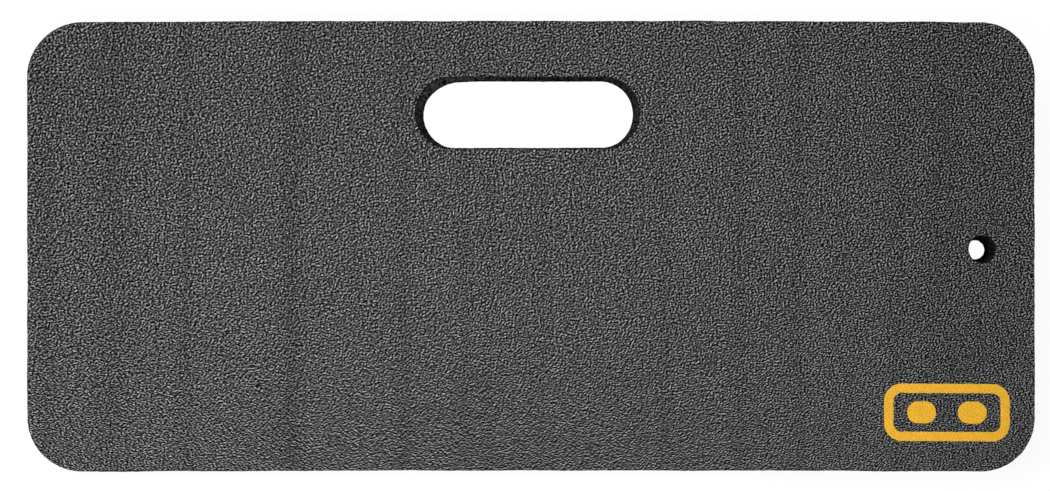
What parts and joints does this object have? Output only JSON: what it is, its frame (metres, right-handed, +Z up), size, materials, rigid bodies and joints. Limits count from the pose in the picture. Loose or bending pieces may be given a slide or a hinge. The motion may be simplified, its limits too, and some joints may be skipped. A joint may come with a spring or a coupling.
{
  "type": "kneeling pad",
  "caption": "Flat rectangular garden kneeling pad of dark closed-cell foam, with rounded corners, an oblong hand slot, a round hang hole and a small printed mark.",
  "frame": {"origin": "on the floor, under the middle of the pad's outline", "axes": "+X along the pad's length towards the hang hole, +Y across the pad towards the hand slot, +Z up through the thickness towards the kneeling face"},
  "size_m": [0.4572, 0.204, 0.0254],
  "materials": {
    "foam_core": "matt cut closed-cell foam, near black",
    "grained_skin": "pebble-grained dense foam skin, dark grey, low sheen",
    "under_skin": "pebble-grained dense foam skin, dark grey, matt",
    "print_ink": "screen-printed ink, warm yellow, matt"
  },
  "bodies": {
    "root": {"foam_core": "foam_core", "top_skin": "grained_skin", "bottom_skin": "under_skin", "print_frame": "print_ink", "print_knee_left": "print_ink", "print_knee_right": "print_ink"}
  },
  "joints": []
}
